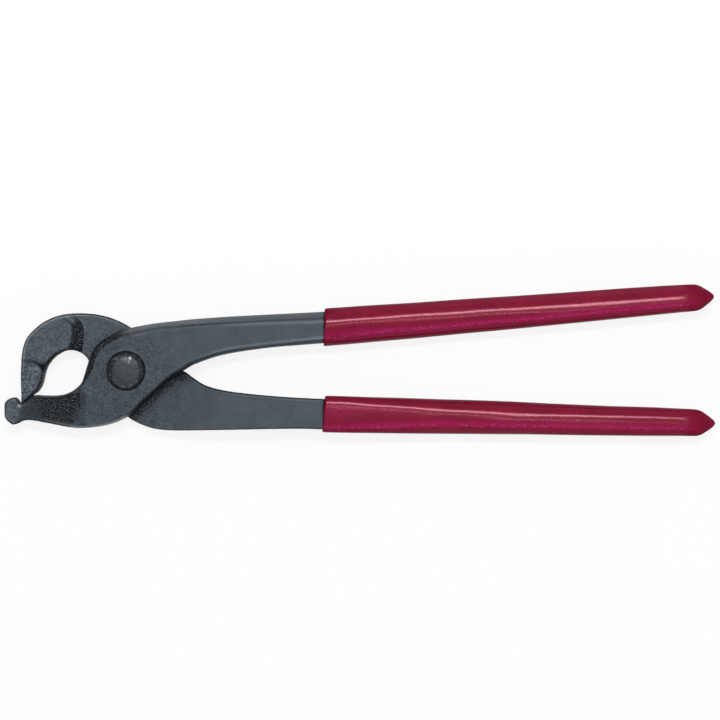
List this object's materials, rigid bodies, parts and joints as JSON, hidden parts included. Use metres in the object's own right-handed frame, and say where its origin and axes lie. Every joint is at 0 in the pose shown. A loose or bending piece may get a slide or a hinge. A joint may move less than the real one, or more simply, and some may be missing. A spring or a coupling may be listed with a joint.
{
  "type": "fencing pliers",
  "caption": "Hooked-beak fencing pliers: lapped forged steel levers on a domed rivet, a lower jaw with a heel knob, and tapered red dipped grips.",
  "frame": {"origin": "the rivet's axis at the ground rear face of the back lever, on which the tool lies", "axes": "+X along the handles away from the jaws, +Y towards the beak's back, +Z out of the front face with the rivet's dome"},
  "size_m": [0.2795, 0.0595, 0.0161],
  "materials": {
    "lever_steel": "blackened, ground faces over forging scale",
    "rivet_steel": "blackened, hammered dome",
    "grip_coat": "semi-gloss dipped plastic"
  },
  "bodies": {
    "back_half": {"back_lever": "lever_steel", "rivet": "rivet_steel", "lower_grip": "grip_coat"},
    "front_half": {"front_lever": "lever_steel", "upper_grip": "grip_coat"}
  },
  "joints": [
    {"name": "jaw_pivot", "type": "hinge", "parent": "back_half", "child": "front_half", "pos_m": [0, 0, 0.0065], "axis": [0, 0, 1], "range_deg": [0, 30]}
  ]
}
